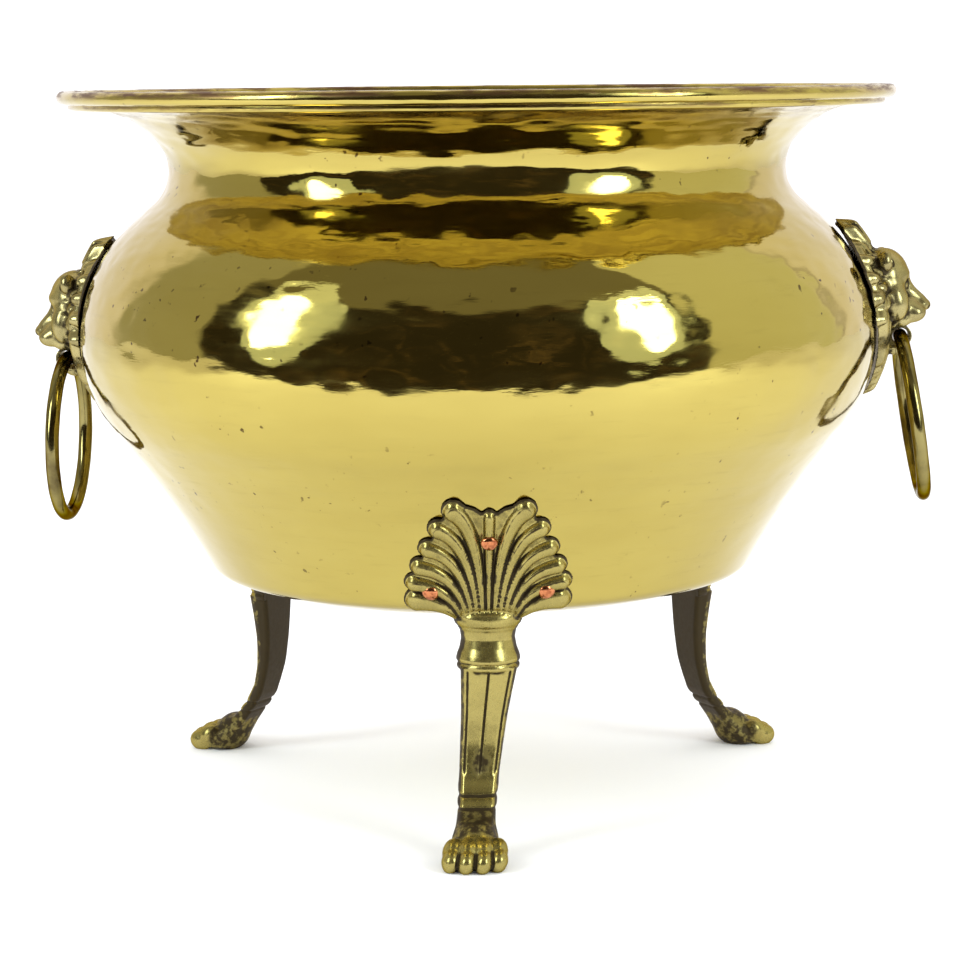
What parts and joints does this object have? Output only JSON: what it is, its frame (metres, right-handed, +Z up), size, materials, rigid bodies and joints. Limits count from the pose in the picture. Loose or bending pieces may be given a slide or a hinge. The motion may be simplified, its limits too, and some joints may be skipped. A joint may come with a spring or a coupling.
{
  "type": "planter pot",
  "caption": "Round-bellied hammered brass planter with a flared rolled rim, paw-foot cast legs and lion-mask drop-ring handles.",
  "frame": {"origin": "on the floor, on the bowl's axis, midway between the soles of the paws and inside the object's bounding box bottom centre", "axes": "+Z up, +X towards the right-hand lion mask, -Y towards the front leg (which stands 4.2 degrees round from -Y)"},
  "size_m": [0.416, 0.3799, 0.3244],
  "materials": {
    "polished_brass": "hammered sheet, hand polished",
    "cast_brass": "cast, rubbed bright on the high parts, dark in the hollows",
    "ring_brass": "polished round wire, worn",
    "copper": "copper rivet, bright",
    "iron_wire": "rusty iron wire",
    "steel": "plain zinc-dull steel"
  },
  "bodies": {
    "pot": {"bowl": "polished_brass", "leg_front": "cast_brass", "leg_front_rivet_left": "copper", "leg_front_rivet_right": "copper", "leg_front_rivet_top": "copper", "leg_rear_left": "cast_brass", "leg_rear_left_rivet_left": "copper", "leg_rear_left_rivet_right": "copper", "leg_rear_left_rivet_top": "copper", "leg_rear_right": "cast_brass", "leg_rear_right_rivet_left": "copper", "leg_rear_right_rivet_right": "copper", "leg_rear_right_rivet_top": "copper", "lion_mask_left": "cast_brass", "lion_mask_right": "cast_brass", "mask_left_nut": "steel", "mask_left_washer": "steel", "mask_right_nut": "steel", "mask_right_washer": "steel", "rim_wire": "iron_wire"},
    "ring_left": {"ring_left": "ring_brass"},
    "ring_right": {"ring_right": "ring_brass"}
  },
  "joints": [
    {"name": "ring_left_swing", "type": "hinge", "parent": "pot", "child": "ring_left", "pos_m": [-0.19214, 0, 0.20095], "axis": [0, 1, 0], "range_deg": [0, 95]},
    {"name": "ring_right_swing", "type": "hinge", "parent": "pot", "child": "ring_right", "pos_m": [0.19304, 0, 0.21027], "axis": [0, -1, 0], "range_deg": [0, 95]}
  ]
}
